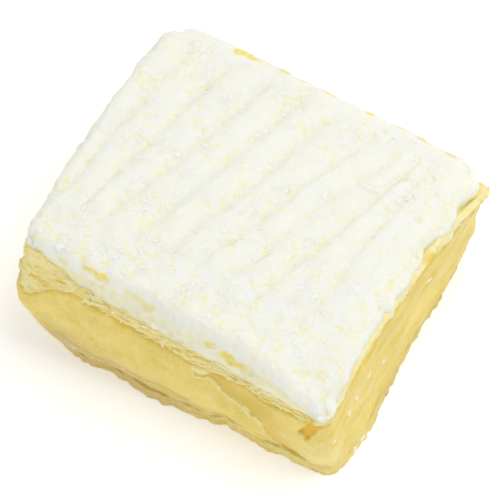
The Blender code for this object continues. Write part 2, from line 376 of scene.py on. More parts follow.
def through(stations, knots, t):
    """The outline and plane at t, on a smooth curve through the stations, which are (outline, plane)."""
    rows = np.array([[*np.ravel(o.corners), *o.swell, *plane] for o, plane in stations])
    slopes = np.gradient(rows, knots, axis=0)
    i = int(np.clip(np.searchsorted(knots, t, side="right") - 1, 0, len(knots) - 2))
    width = knots[i + 1] - knots[i]
    s = (t - knots[i]) / width
    row = (
        (2 * s**3 - 3 * s**2 + 1) * rows[i]
        + (3 * s**2 - 2 * s**3) * rows[i + 1]
        + ((s**3 - 2 * s**2 + s) * slopes[i] + (s**3 - s**2) * slopes[i + 1]) * width
    )
    return Outline(tuple(map(tuple, row[:12].reshape(4, 3))), tuple(row[12:16])), tuple(row[16:])


def near_line(x, y, start, end):
    """Distance of points in a plane from a line between two points."""
    run = np.subtract(end, start)
    share = np.clip(((x - start[0]) * run[0] + (y - start[1]) * run[1]) / (run @ run), 0, 1)
    return np.hypot(x - start[0] - share * run[0], y - start[1] - share * run[1])


# ---- Meshes -------------------------------------------------------------------------------------


def stack(rings, points):
    """A closed disc of unit radius with that many rings, at Z = 0, 1, 2 and so on."""
    bm = bmesh.new()
    bmesh.ops.create_circle(bm, cap_ends=True, radius=1, segments=points)
    top = bm.faces[:]
    for ring in range(1, rings):
        made = bmesh.ops.extrude_face_region(bm, geom=top)["geom"]
        if ring > 1:
            bmesh.ops.delete(bm, geom=top, context="FACES_ONLY")
        top = [g for g in made if isinstance(g, bmesh.types.BMFace)]
        bmesh.ops.translate(bm, vec=(0, 0, 1), verts=top[0].verts)
    return bm


def shape(bm, rule):
    """Moves every vertex of bm to where rule(x, y, z) says. Returns the marks that the rule gives."""
    old = np.array([v.co for v in bm.verts])
    x, y, z, marks = rule(*old.T)
    new = np.stack([x - MIDDLE[0], y - MIDDLE[1], z], 1) * MM
    for vertex, co in zip(bm.verts, new):
        vertex.co = co
    bmesh.ops.recalc_face_normals(bm, faces=bm.faces)
    return marks


def add_piece(name, mesh, material, replaces=()):
    mesh.materials.append(material)
    piece = bpy.data.objects.new(name, mesh)
    bpy.context.scene.collection.objects.link(piece)
    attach(piece, "root")
    if replaces:
        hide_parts(*replaces)
    return piece


def finish_mesh(name, bm, marks=None):
    """A mesh from bm, with a value for each vertex under each mark's name."""
    mesh = bpy.data.meshes.new(name)
    bm.to_mesh(mesh)
    bm.free()
    for mark, values in (marks or {}).items():
        mesh.attributes.new(mark, "FLOAT", "POINT").data.foreach_set("value", values.astype(np.float32))
    mesh.shade_smooth()
    return mesh


def surface_of(*pieces):
    """Something to cast rays at: the pieces' surface, in millimetres in the layers' own frame."""
    points, faces = [], []
    for piece in pieces:
        co = np.empty(len(piece.data.vertices) * 3, np.float32)
        piece.data.vertices.foreach_get("co", co)
        start = sum(map(len, points))
        points.append(co.reshape(-1, 3) / MM + (*MIDDLE, 0))
        faces += [[start + i for i in p.vertices] for p in piece.data.polygons]
    return BVHTree.FromPolygons([Vector(p) for p in np.concatenate(points)], faces)


# ---- Cream --------------------------------------------------------------------------------------


def rope_arch(x, y):
    """How far the comb cut below the ropes' crowns at each point, and how near a crease it is, 0 to 1."""
    cut, near = np.zeros_like(x), np.zeros_like(x)
    x = x + rough(x, y, 0 * x, (ROPE_WANDER, (9, 14, 1), 4), (0.25, 3, 6))
    for (x0, run0, depth0), (x1, run1, depth1) in zip(CREASES, CREASES[1:]):
        left, right = x0 + run0 * y, x1 + run1 * y
        share = (x - left) / (right - left)
        inside = (share >= 0) & (share <= 1)
        share = np.clip(share, 0, 1) ** ROPE_SKEW
        arch = np.clip(np.hypot(4 * share * (1 - share), CREASE_SOFT), 0, 1) ** ROPE_ROUND
        cut = np.where(inside, ROPE_DEPTH * (depth0 + (depth1 - depth0) * share) * (1 - arch), cut)
        near = np.where(inside, 1 - arch, near)
    fade = smooth(*ROPE_START, y) * smooth(*ROPE_END, y)
    return cut * fade, near * fade


def curds(x, y, size, seed):
    """How far each point lies inside its curd of cream: 0 in the gap between two, and up to about 1."""
    x = x + 0.35 * size * uneven(x, y, 0 * x, 0.9 * size, seed)
    points = np.stack([x / size, y / size, 0 * x + seed], 1)
    near = np.array([noise.voronoi(Vector(p))[0][:2] for p in points])
    return near[:, 1] - near[:, 0]


def cream_texture(x, y, creased):
    """The spread cream's own relief, curdled in patches, and how far a point lies in a gap between curds."""
    flat = 0 * x
    border = smooth(-17, -24, y)
    patch = smooth(-0.25, 0.6, uneven(x, y, flat, 8, 91))
    curdled = np.clip(0.2 + 0.6 * patch + 0.5 * border + 0.5 * smooth(0.1, 0.5, creased), 0, 1)
    inside = curds(x, y, 1.5, 12)
    lumps = rough(x, y, flat, (CREAM_LUMP, 9, 3), (0.12 + 0.16 * border, 4.2, 8))
    grain = 0.2 * (smooth(0, 0.45, inside) - 0.8) + 0.08 * uneven(x, y, flat, 1.6, 14)
    drag = 0.05 * uneven(x - 0.27 * y, y, flat, (0.9, 9, 1), 21)  # fine lines that the comb left
    gap = smooth(0.22, 0.04, inside) * smooth(-0.1, 0.4, uneven(x, y, flat, 2.2, 17)) * curdled
    return lumps + curdled * grain + drag * (1 - border), gap


def crack_depth(x, y):
    stray = 0.7 * uneven(x, y, 0 * x, 1.7, 31)
    broken = smooth(-0.5, 0.3, uneven(x, y, 0 * x, 1.5, 33))
    return broken * sum(
        depth * np.exp(-((np.maximum(near_line(x, y, start, end) + stray, 0) / half) ** 2))
        for start, end, half, depth in CRACKS
    )


def cream_height(u, v, x, y):
    """Height of the cream's top over each point, and how far it lies in a crease or crack and in a gap."""
    edge_x = np.where(u < 0, CREAM_EDGE["left"], CREAM_EDGE["right"])
    edge_y = np.where(v < 0, CREAM_EDGE["front"], CREAM_EDGE["back"])
    into_x = np.clip(1 - (1 - abs(u)) * CREAM_HALF[0] / edge_x, 0, 1)
    into_y = np.clip(1 - (1 - abs(v)) * CREAM_HALF[1] / edge_y, 0, 1)
    into = np.clip(np.hypot(into_x, into_y), 0, 1)
    corner = np.array(CREAM_RIM.corners[2][:2])
    reach = np.hypot(x - corner[0], y - corner[1]) / DROOP_REACH
    cut, creased = rope_arch(x, y)
    cracked = crack_depth(x, y)
    relief, gap = cream_texture(x, y, creased)
    height = (
        level(CREAM_TOP, x)
        - cut
        - cracked
        - CREAM_EDGE_DROP * (1 - np.sqrt(1 - into**2))
        + relief
        - NEAR_CORNER_DROOP * np.exp(-(reach**2))
    )
    return height, np.clip(0.8 * creased**1.5 + 1.9 * cracked, 0, 1), gap


def edge_bite(x, y):
    """How far the cream's edge is eaten inwards, on its right side and raggedly all round."""
    bitten = np.interp(y, *zip(*CREAM_RIGHT)) * smooth(28, 36, x)
    return bitten + rough(x, y, 0 * x, (0.35, 5.5, 41), (0.3, 2.1, 43), (0.18, 0.9, 45))


def cream_topping():
    """The cream: a gridded, combed top with cut sides hung from its rim down to the lid."""
    bm = bmesh.new()
    bmesh.ops.create_grid(bm, x_segments=CREAM_GRID[0], y_segments=CREAM_GRID[1], size=1)
    rim = [e for e in bm.edges if e.is_boundary]
    for _ in range(CREAM_SIDE_RINGS):
        made = bmesh.ops.extrude_edge_only(bm, edges=rim)["geom"]
        bmesh.ops.translate(bm, vec=(0, 0, -1), verts=[g for g in made if isinstance(g, bmesh.types.BMVert)])
        rim = [g for g in made if isinstance(g, bmesh.types.BMEdge) and g.is_boundary]
    bmesh.ops.edgeloop_fill(bm, edges=rim)

    def rule(u, v, z):
        down = -z / CREAM_SIDE_RINGS
        u = u + RIM_CROWDING * np.sin(np.pi * u) / np.pi
        v = v + RIM_CROWDING * np.sin(np.pi * v) / np.pi
        top_x, top_y = plan(CREAM_RIM, u, v)
        low_x, low_y = plan(CREAM_FOOT, u, v)
        x, y = top_x + (low_x - top_x) * down, top_y + (low_y - top_y) * down
        top_z, dip, gap = cream_height(u, v, top_x, top_y)
        low_z = level(LID_TOP, x) - CREAM_SINK
        z = top_z + (low_z - top_z) * down
        near_rim = smooth(0.9, 1, np.maximum(abs(u), abs(v)))
        wall = smooth(0, 0.25, down) * smooth(1, 0.8, down)
        away = (
            CREAM_BULGE * np.sin(np.pi * down)
            - near_rim * (1 - 0.6 * down) * edge_bite(x, y)
            + wall * rough(x, y, z, (0.45, 4.5, 51), (0.3, 1.7, 53), (0.12, 0.8, 55))
        )
        length = np.hypot(x, y)
        x, y = x + away * x / np.maximum(length, 1), y + away * y / np.maximum(length, 1)
        back = smooth(30, 33, y) * smooth(32.4, 34.2, z + 0.7 * uneven(x, y, 0 * x, 1.5, 59))
        smeared = smears_at(CREAM_SMEARS, x, y, z, smooth(-30.5, -32, y), smooth(30, 34, x), back)
        side = smooth(0.0, 0.3, down)
        rubbed = 0.9 * side * smooth(-14, -36, x) * smooth(-0.55, 0.3, uneven(x, y, z, (5, 5, 2), 57))
        marks = {
            "dip": dip * (1 - down),
            "gap": gap * (1 - down),
            # The cut side's warm tint: partly a stain and partly painted shade and bounce light, stronger
            # towards the right.
            "side": side * (1 + 0.8 * smooth(6, 24, x)),
            "smear": np.maximum(smeared, rubbed),
        }
        return x, y, z + SMEAR_LIFT * smeared * (1 - down), marks

    return finish_mesh("cream_topping", bm, shape(bm, rule))


# ---- Custard ------------------------------------------------------------------------------------


def along_sides(front_table, right_table, x, y, faces):
    """What one table gives along the front, over x, and another along the right side, over y."""
    front, right = faces[:2]
    return np.interp(x, *zip(*front_table)) * front + np.interp(y, *zip(*right_table)) * right


def seam_rise(x, y, faces):
    """How far the seam between custard and lid runs above its level at each point of the side."""
    return along_sides(SEAM_FRONT, SEAM_RIGHT, x, y, faces) + 0.35 * uneven(x, y, 0 * x, 6, 61)


def edge_rise(x, y, faces):
    """How far the lid's upper edge runs above its level at each point of the side."""
    return along_sides(EDGE_FRONT, EDGE_RIGHT, x, y, faces) + 0.35 * uneven(x, y, 0 * x, 6, 63)


def foot_push(x, y, z, faces):
    """How far the slice stands out of its outline near its foot."""
    return along_sides(FOOT_FRONT, FOOT_RIGHT, x, y, faces) * smooth(*FOOT_REACH, z)


def ledge_relief(x, z):
    """The torn ledge on the custard's front: how far each point is scooped out, on its edge and in painted
    shade.
    """
    line_x, line_z = zip(*LEDGE)
    scallop = rough(x, 0 * x, z, (0.45, 1.6, 63), (0.3, 4, 64), (0.12, 0.7, 65))
    away = np.min([near_line(x, z, a, b) for a, b in zip(LEDGE, LEDGE[1:])], axis=0)
    above = np.sign(z - np.interp(x, line_x, line_z))
    beyond = np.where(x < line_x[0], -1, np.where(x > line_x[-1], 1, above))
    signed = away * beyond + scallop
    scoop = smooth(-0.1, 0.3, signed) * smooth(38, 30, x) * smooth(3, 9, x)
    # The edge of the skin that is left stands out a little and gets a painted highlight.
    lip = np.exp(-(((signed + 0.1) / 0.18) ** 2)) * smooth(31, 26, x)
    shade = smooth(0, 0.4, signed) * smooth(8.0, 1.0, signed) * smooth(36, 28, x)
    return scoop, lip, shade


def pocket(x, z):
    """How deep each point of the front lies in the slot, as a share of the slot's depth."""
    run, rise = turned(x - POCKET["at"][0], z - POCKET["at"][1], -np.radians(POCKET["turn"]))
    away = np.maximum(abs(run) / POCKET["half_length"], abs(rise) / POCKET["half_width"])
    return smooth(1.1, 0.85, away + 0.2 * uneven(x, 0 * x, z, 1.3, 67))


def custard_relief(x, y, z, faces):
    """How far the custard's surface stands out of its outline, and its marks."""
    front, right, back, left = faces
    along = x * (front + back) + y * (right + left)
    flap = smears_at(CUSTARD_FLAPS, x, y, z, front, right, 0 * x)
    scoop, lip, shade = ledge_relief(x, z)
    ledge = LEDGE_LIP * lip - LEDGE_DEPTH * scoop
    hole = pocket(x, z) * front
    above = z - np.interp(x, *zip(*GROOVE)) + 0.7 * uneven(x, 0 * x, z, 5, 77)
    groove = np.exp(-((above / 0.6) ** 2)) * front * smooth(-36, -28, x)
    soft = rough(x, y, z, (0.45, 12, 5), (0.16, 4, 71), (0.05, 1.3, 72))
    drag = rough(along, 0 * x, z, (0.26, (22, 1, 2.6), 73), (0.12, (9, 1, 0.9), 74))
    cut = 0.3 * front + 1.2 * right + 0.8 * back + 0.8 * left  # where a knife's drag shows
    away = soft + drag * cut + ledge * front - GROOVE_DEPTH * groove - POCKET["depth"] * hole
    away = away + foot_push(x, y, z, faces)
    stained = smears_at(CUSTARD_STAINS, x, y, z, front, right, 0 * x)
    dusk = smooth(-0.1, 0.5, uneven(x, y, z, (1, 14, 5), 81)) * smooth(-18, 0, y)
    glow = np.exp(-(((x - GLOW[0]) ** 2 + (y - GLOW[1]) ** 2 + (z - GLOW[2]) ** 2) / GLOW[3] ** 2))
    # Painted shade: darker below the groove and low down towards the left of the front.
    under = 0.55 * smooth(6.5, -3.0, above) * smooth(22, -8, x)
    under = under + 0.55 * smooth(20, 6, z) * smooth(-5, -36, x)
    foot_shade = 0.8 * smooth(8, 2.5, z) * smooth(-28, -8, y)
    return away, {
        # The stains' own colour, and painted shade inside the slot.
        "deep": np.maximum(hole, 0.85 * stained),
        # A painted highlight along the ledge's edge, a painted pool of light at the near corner, and the
        # paler skin of the flaps.
        "lip": np.maximum(np.maximum(lip * front, 0.8 * flap), 0.35 * glow),
        # Painted shade in and below the groove, low on the left of the front and on the left side.
        "low": front * np.clip(0.4 * groove + under, 0, 1) + 0.35 * left,
        "shade": front * shade * (1 - flap) + right * (foot_shade + 0.6 * dusk),
        "drag": smooth(-0.25, 0.3, drag) * cut,
    }


def custard_filling():
    """The custard, a soft slab whose sides bulge, with a torn ledge and a slot in its front."""
    knots = (0, 0.4, 0.73, 1)
    levels = (BASE_TOP, CUSTARD_WAIST, CUSTARD_BULGE, CUSTARD_TOP)
    stations = tuple(zip((BASE_RIM, WAIST, BULGE, SHOULDER), levels))

    def rule(x, y, z):
        out = np.zeros((3, len(x)))
        x, y = x + CROWD[0], y + CROWD[1]
        marks = {mark: np.zeros(len(x)) for mark in CUSTARD_MARKS}
        for ring in range(CUSTARD_RINGS):
            here = np.rint(z) == ring
            share = ring / (CUSTARD_RINGS - 1)
            outline, plane = through(stations, knots, share)
            px, py, out_x, out_y = rim_of(outline, x[here], y[here])
            faces = sides(out_x, out_y)
            pz = level(plane, px) + seam_rise(px, py, faces) * smooth(0.45, 1, share)
            away, found = custard_relief(px, py, pz, faces)
            below_top = (1 - share) * (CUSTARD_TOP[0] - BASE_TOP[0])
            sunk = CUSTARD_ROUND + 0.5 * uneven(px, py, 0 * px, 5, 75)
            near_top = np.clip((sunk - below_top) / sunk, 0, 1)
            away = away - sunk * (1 - np.sqrt(1 - near_top**2))
            out[:, here] = px + out_x * away, py + out_y * away, pz
            # Painted shadow under the lid, along the top of the custard's front and right side.
            broken = smooth(-0.5, 0.5, uneven(px, py, pz, 3, 79))
            seam = smooth(0.1, 0.8, near_top) * broken * (faces[0] + faces[1])
            found["deep"] = np.maximum(found["deep"], 0.5 * seam)
            for mark, values in found.items():
                marks[mark][here] = values
        return *out, marks

    bm = stack(CUSTARD_RINGS, CUSTARD_POINTS)
    return finish_mesh("custard_filling", bm, shape(bm, rule))


# ---- Pastry -------------------------------------------------------------------------------------

# How a pastry layer is made: station gives its outline and level at a share of its height, leaf is how
# thick the leaves are that it is torn into, reach how unevenly they stand out, groove the depth between two
# of them and bends is 1 where the layer bends with the seams.
Layer = namedtuple("Layer", "station leaf reach groove bends rings points seed")
TURN_LENGTH = 40.0  # length along a layer's side, in mm, for each radian round it
CRUMBLY = ((-44.0, -36.0, 18.0), (43.5, 39.0, 15.0))  # where the lid is crumbly: (x, y, reach)


def lid_station(share):
    return through(((SHOULDER, CUSTARD_TOP), (LID_RIM, LID_TOP)), (0, 1), share)


def base_station(share):
    return through(((FOOT, GROUND), (BASE_RIM, BASE_TOP)), (0, 1), share)


LID = Layer(lid_station, 0.7, 0.62, 0.22, 1, 74, 900, 101)
BASE = Layer(base_station, 0.9, 0.3, 0.1, 0, 22, 900, 121)


def torn_edge(layer, x, y, z):
    """How far a layer's torn leaves stand out, how hollow it is there, for painted shade, and the tint of its
    leaf.
    """
    flat = 0 * x
    place = z / layer.leaf + rough(x, y, flat, (1.2, 9, layer.seed), (0.5, 2.5, layer.seed + 1))
    leaf = np.floor(place)
    groove = (2 * (place - leaf) - 1) ** 4
    reach = (
        0.55 * uneven(x, y, 31 * leaf, 6, layer.seed + 2)
        + 0.35 * uneven(x, y, 17 * leaf, 1.8, layer.seed + 3)
        + 0.2 * uneven(x, y, 5 * leaf, 0.7, layer.seed + 4)
    )
    tint = 0.5 + 0.5 * uneven(x, y, 23 * leaf, 12, layer.seed + 5)
    crumbly = sum(smooth(1, 0, np.hypot(x - at_x, y - at_y) / far) for at_x, at_y, far in CRUMBLY)
    crumbly = layer.bends * crumbly
    crumbs = rough(x, y, z, (0.35, 1.5, layer.seed + 7), (0.25, 0.8, layer.seed + 8))
    reach = reach * (1 - 0.5 * crumbly) + crumbs * (0.3 + 0.9 * crumbly)
    groove = groove * (1 - 0.7 * crumbly)
    tint = 0.5 + (tint - 0.5) * (1 - 0.6 * crumbly)
    # How hollow each point is, which gets painted shade.
    hollow = np.clip(0.6 * groove + smooth(0, -0.6, reach), 0, 1)
    return layer.reach * reach - layer.groove * groove, hollow, tint


def layer_rise(layer, share, x, y, faces):
    """How far a layer runs above its level at a share of its height."""
    rise = share * edge_rise(x, y, faces)
    rise += (1 - share) * seam_rise(x, y, faces)
    rise += (0.5 - 0.4 * faces[1]) * smooth(0.7, 1, share) * uneven(x, y, 0 * x, 1.5, layer.seed + 6)
    return layer.bends * rise


def lid_crown(share, inset, x, y, faces):
    """How far the lid's top swells under the cream, which it doesn't do where the cream is thin."""
    corner_x, corner_y = CREAM_RIM.corners[2][:2]
    thick = smooth(*THIN_CREAM, np.hypot(x - corner_x, y - corner_y))
    swell = np.interp(inset, *zip(*LID_CROWN)) * (1 - 0.5 * faces[1])
    return share * (swell * thick - CORNER_DIP * (1 - thick))


def pastry_layer(name, layer):
    """A layer of pastry, torn into leaves all round its side."""
    side = np.linspace(0, 1, layer.rings - 4)
    # Each ring is (share of the layer's height, way in from its edge).
    rings = [(0, 3.0)] + [(share, 0) for share in side] + [(1, 0.5), (1, 1.5), (1, 4.0)]

    def rule(x, y, z):
        x, y = x + CROWD[0], y + CROWD[1]
        out = np.zeros((3, len(x)))
        marks = {mark: np.zeros(len(x)) for mark in PASTRY_MARKS}
        for ring, (share, inset) in enumerate(rings):
            here = np.rint(z) == ring
            outline, plane = layer.station(share)
            px, py, out_x, out_y = rim_of(outline, x[here], y[here])
            faces = sides(out_x, out_y)
            rise = layer_rise(layer, share, px, py, faces) * smooth(4, 3, inset)
            away, hollow, tint = torn_edge(layer, px, py, level(plane, px) + rise)
            edge = (0.1 + 0.3 * layer.bends) * smooth(0.06, 0, min(share, 1 - share))
            tucked = layer.bends * (0.1 - 0.2 * np.maximum(rise, 0) * share)
            calm = layer.bends * faces[1] * smooth(0.4, 0.85, share) * smooth(37, 27, py)
            away = away * (1 - calm) + 0.25 * calm * uneven(px, py, 0 * px + share, 1.1, layer.seed + 10)
            away = away * smooth(3, 0, inset) - edge - tucked
            if not layer.bends:
                away += foot_push(px, py, level(plane, px), faces)
                away += 0.35 * uneven(px, py, 0 * px, 1.8, layer.seed + 9)
            rise += layer.bends * lid_crown(share, inset, px, py, faces)
            shrink = 1 - inset / np.hypot(px, py)
            px, py = (px + out_x * away) * shrink, (py + out_y * away) * shrink
            pz = np.maximum(level(plane, px) + rise, LOWEST)
            out[:, here] = px, py, pz
            # Painted shade low on the base: towards the left of the front, on the left side and towards the
            # back of the right side.
            low = faces[0] * smooth(16, -10, px) + 0.5 * faces[3] + 0.6 * faces[1] * smooth(-28, -8, py)
            found = {
                "hollow": hollow * (1 - calm),
                "leaf": 0.5 + (tint - 0.5) * (1 - calm),
                # Painted light on the right side and near the top.
                "pale": np.clip(faces[1] + 0.6 * smooth(0.6, 1, share), 0, 1),
                "low": (1 - layer.bends) * low,
                "smear": smears_at(LID_STAINS, px, py, pz, faces[0], faces[1], 0 * px),
                "along": TURN_LENGTH * np.arctan2(py, px),
                "across": pz - inset,
            }
            for mark, values in found.items():
                marks[mark][here] = values
        return *out, marks

    bm = stack(len(rings), layer.points)
    return finish_mesh(name, bm, shape(bm, rule))


# ---- Scattered bits -----------------------------------------------------------------------------

# What each kind of bit measures in mm: (least, most) length, width and thickness, how much it may tip out
# of the surface, in radians, and how strongly its length keeps level.
Kind = namedtuple("Kind", "length width thick tip level")
FLAKES = Kind((1.0, 2.6), (0.5, 1.1), (0.14, 0.22), 0.05, 0)
GRAINS = Kind((0.4, 1.0), (0.35, 0.7), (0.18, 0.3), 0.2, 0)
CHIPS = Kind((0.6, 2.4), (0.5, 1.0), (0.2, 0.4), 0.12, 2.0)
CRUMBS = Kind((0.4, 1.6), (0.3, 0.8), (0.12, 0.26), 0.08, 2.0)
SUNK = 0.3  # how far a bit is pressed in, as a share of its thickness
FORMS = 9  # how many different bits there are of a kind
CREASE_ANGLE = 50  # degrees between faces from which a bit's edge is sharp
# How many bits are dropped on the cream and thrown at the lid's side; some miss or don't stay.
COUNTS = dict(flakes=1500, grains=1600, rim_grains=120, chips=600, crumbs=380, low_crumbs=60)
TOP_X, TOP_Y = (-44, 44), (-38, 40)  # where bits fall on the cream's top
CAST_FROM = 60  # how far from the middle of the slice the rays start
CAST_AWAY = 8  # how far outside the lid's rim the rays to its side start
STEEPEST = 0.35  # the least upward share of a surface's normal on which a bit stays
BARE_RIGHT = 0.85  # the share of the bits round the lid that its right side lacks
FLECK_SUNK = 0.08  # how far a white fleck is pressed in


def bent_bar(bend, twist, taper, seed):
    """A bar of unit length, width and thickness, bent, twisted and tapered, as points and faces."""
    luck = np.random.default_rng(seed)
    bm = stack(5, 4)
    for vertex in bm.verts:
        x, y, z = vertex.co
        along = z / 4 - 0.5
        size = (1 - taper * (2 * along) ** 2) * luck.uniform(0.8, 1.15) / 2
        side, rise = turned(x, y, twist * along)
        vertex.co = (along, side * size, rise * size + bend * (along**2 - 0.1))
    bmesh.ops.recalc_face_normals(bm, faces=bm.faces)
    points = np.array([v.co for v in bm.verts])
    faces = [[v.index for v in face.verts] for face in bm.faces]
    bm.free()
    return points, faces


def scatter(name, kind, places, luck):
    """One mesh of many bits, each lying on the surface at its place, which is (point, normal)."""
    forms = [
        bent_bar(luck.uniform(-0.3, 0.3), luck.uniform(-0.5, 0.5), luck.uniform(0.2, 0.6), seed)
        for seed in range(FORMS)
    ]
    points, faces, start = [], [], 0
    for place, normal in places:
        form, form_faces = forms[luck.integers(len(forms))]
        size = np.array([luck.uniform(*kind.length), luck.uniform(*kind.width), luck.uniform(*kind.thick)])
        up = np.array(normal) + luck.normal(0, kind.tip, 3)
        up /= np.linalg.norm(up)
        along = np.cross(up, luck.normal(0, 1, 3) + (0, 0, kind.level))
        along /= np.linalg.norm(along)
        laid = (form * size) @ np.stack([along, np.cross(up, along), up])
        points.append(laid + np.array(place) - SUNK * size[2] * up)
        faces += [[start + i for i in face] for face in form_faces]
        start += len(form)
    mesh = bpy.data.meshes.new(name)
    mesh.from_pydata((np.concatenate(points) - (*MIDDLE, 0)) * MM, [], faces)
    mesh.shade_smooth()
    mesh.set_sharp_from_angle(angle=np.radians(CREASE_ANGLE))
    return mesh


def top_places(surface, count, share, luck):
    """Places on the cream's top. share(x, y) is how likely a bit is to stay where it falls."""
    x, y = luck.uniform(*TOP_X, count), luck.uniform(*TOP_Y, count)
    kept = luck.uniform(0, 1, count) < share(x, y)
    down = Vector((0, 0, -1))
    hits = (surface.ray_cast(Vector((px, py, CAST_FROM)), down) for px, py in zip(x[kept], y[kept]))
    return [(hit, normal) for hit, normal, _, _ in hits if hit and normal.z > STEEPEST]


def side_places(surface, count, span, luck):
    """Places all round the lid's side. span is how high they may lie, in shares of the lid's height."""
    turn = luck.uniform(0, 2 * np.pi, count)
    px, py, out_x, out_y = rim_of(LID_RIM, np.cos(turn), np.sin(turn))
    faces = sides(out_x, out_y)
    kept = luck.uniform(0, 1, count) > BARE_RIGHT * faces[1]
    low = level(CUSTARD_TOP, px) + seam_rise(px, py, faces)
    high = level(LID_TOP, px) + edge_rise(px, py, faces)
    pz = low + (high - low) * luck.uniform(*span, count)
    starts = np.stack([px + CAST_AWAY * out_x, py + CAST_AWAY * out_y, pz], 1)[kept]
    ways = np.stack([-out_x, -out_y, 0 * pz], 1)[kept]
    hits = (surface.ray_cast(Vector(start), Vector(way)) for start, way in zip(starts, ways))
    return [(hit, normal) for hit, normal, _, _ in hits if hit]


def coconut_share(x, y):
    """How likely a bit of coconut is to stay at each point of the cream's top."""
    _, creased = rope_arch(x, y)
    patch = smooth(-0.35, 0.75, uneven(x, y, 0 * x, 7, 91))
    border = smooth(-16, -24, y)
    bare = smooth(30, 34, x) * smooth(36, 24, y)  # the bare band along the right edge
    return (0.05 + 0.4 * patch + 0.4 * creased + 0.15 * border) * (1 - 0.9 * bare)


OUTWARDS = dict(front=(0, -1, 0), right=(1, 0, 0))
# Flecks of dry cream that stand proud of the sides: (place and size as for a smear, thickness).
WHITE_FLECKS = (
    (Smear("front", (22.5, 25.2), (2.8, 1.5), -25), 0.6),
    (Smear("front", (-28.1, 7.0), (1.2, 0.6), -30), 0.2),
    (Smear("front", (-23.4, 5.4), (0.8, 0.5), 0), 0.2),
    (Smear("front", (-15.2, 6.1), (0.9, 0.5), -20), 0.2),
    (Smear("front", (3.2, 5.4), (0.9, 0.5), -20), 0.2),
    (Smear("front", (32.2, 4.5), (1.3, 0.7), -30), 0.2),
    (Smear("right", (13.5, 17.8), (2.3, 0.8), -10), 0.2),
    (Smear("right", (-15.9, 17.3), (2.1, 1.4), 30), 0.25),
    (Smear("right", (-9.2, 13.3), (1.6, 0.9), 20), 0.2),
    (Smear("right", (-22.1, 16.4), (1.7, 1.3), 60), 0.25),
    (Smear("right", (-25.8, 15.3), (1.3, 0.8), 20), 0.2),
    (Smear("right", (-32.9, 12.9), (1.3, 0.9), 10), 0.2),
    (Smear("right", (-23.6, 1.4), (2.0, 1.4), 10), 0.25),
    (Smear("right", (-27.0, 1.2), (2.0, 1.3), 40), 0.25),
)


def fleck_mesh(name, flecks, surface, seed):
    """Thin ragged lens shapes that hug the surface they lie on, in one mesh."""
    whole = bmesh.new()
    scratch = bpy.data.meshes.new("scratch")
    for number, (smear, thick) in enumerate(flecks):
        bm = bmesh.new()
        bmesh.ops.create_uvsphere(bm, u_segments=30, v_segments=12, radius=1)
        co = np.array([v.co for v in bm.verts])
        angle = np.arctan2(co[:, 1], co[:, 0])
        ragged = 1 + 0.45 * uneven(np.cos(angle) * 2.2, np.sin(angle) * 2.2, 0 * angle, 0.9, seed + number)
        run, rise = co[:, 0] * ragged * smear.size[0] / 2, co[:, 1] * ragged * smear.size[1] / 2
        run, rise = turned(run, rise, np.radians(smear.turn))
        outwards = Vector(OUTWARDS[smear.way])
        for vertex, a, b, lens in zip(bm.verts, run + smear.at[0], rise + smear.at[1], co[:, 2]):
            start = Vector(dict(front=(a, -CAST_FROM, b), right=(CAST_FROM, a, b))[smear.way])
            hit, _, _, _ = surface.ray_cast(start, -outwards)
            if not hit:
                hit, _, _, _ = surface.find_nearest(start - outwards * 20)
            lift = thick * (lens if lens > 0 else 0.6 * lens) - FLECK_SUNK
            vertex.co = (hit + outwards * lift - Vector((*MIDDLE, 0))) * MM
        bmesh.ops.recalc_face_normals(bm, faces=bm.faces)
        bm.to_mesh(scratch)
        bm.free()
        whole.from_mesh(scratch)
    bpy.data.meshes.remove(scratch)
    return finish_mesh(name, whole)


# ---- Materials ----------------------------------------------------------------------------------

CREAM_TONES = dict(
    warm=(0.945, 0.955, 0.87), cool=(0.935, 0.955, 0.91), fine=(0.95, 0.955, 0.79), tiny=(0.91, 0.92, 0.81),
    # side is partly a stain and partly painted shade and warm bounce light.
    side=(0.91, 0.865, 0.60), crumb=(0.93, 0.865, 0.46), smear=(0.91, 0.75, 0.18),
)
# Of the custard's tones, shade and low are painted shade, lip is a painted highlight, and deep is the stains'
# colour and painted shade.
CUSTARD_TONES = dict(
    dark=(0.75, 0.55, 0.07), light=(0.88, 0.70, 0.175), mottle=(0.885, 0.74, 0.245),
    streak=(0.70, 0.55, 0.15), spot=(0.84, 0.59, 0.04), grain=(0.895, 0.76, 0.245),
    shade=(0.75, 0.535, 0.09), lip=(0.97, 0.89, 0.48), low=(0.62, 0.47, 0.16), deep=(0.81, 0.51, 0.015),
)
# Pastry tones: bright is painted light, deep is painted shade in the hollows, low is painted shade at the
# foot.
MOIST_TONES = dict(
    bright=(0.965, 0.90, 0.58), pale=(0.98, 0.885, 0.46), ochre=(0.945, 0.78, 0.26), deep=(0.90, 0.68, 0.15),
    low=(0.93, 0.80, 0.32),
)
# The base's tones are darker than the lid's, partly its own colour and partly painted shade low on the slice.
PRESSED_TONES = dict(
    bright=(0.90, 0.76, 0.28), pale=(0.90, 0.76, 0.28), ochre=(0.86, 0.68, 0.20), deep=(0.74, 0.53, 0.12),
    low=(0.68, 0.515, 0.165),
)
LEAF_EDGE = (0.96, 0.91, 0.68)
LID_STAIN = (0.90, 0.67, 0.09)
COCONUT_TONES = dict(white=(0.95, 0.955, 0.93), cream=(0.945, 0.945, 0.85))
CRUMB_TONES = dict(white=(0.94, 0.92, 0.74), cream=(0.94, 0.89, 0.56))
FLOOR_TONES = ((0.965, 0.965, 0.965), (0.975, 0.975, 0.975))


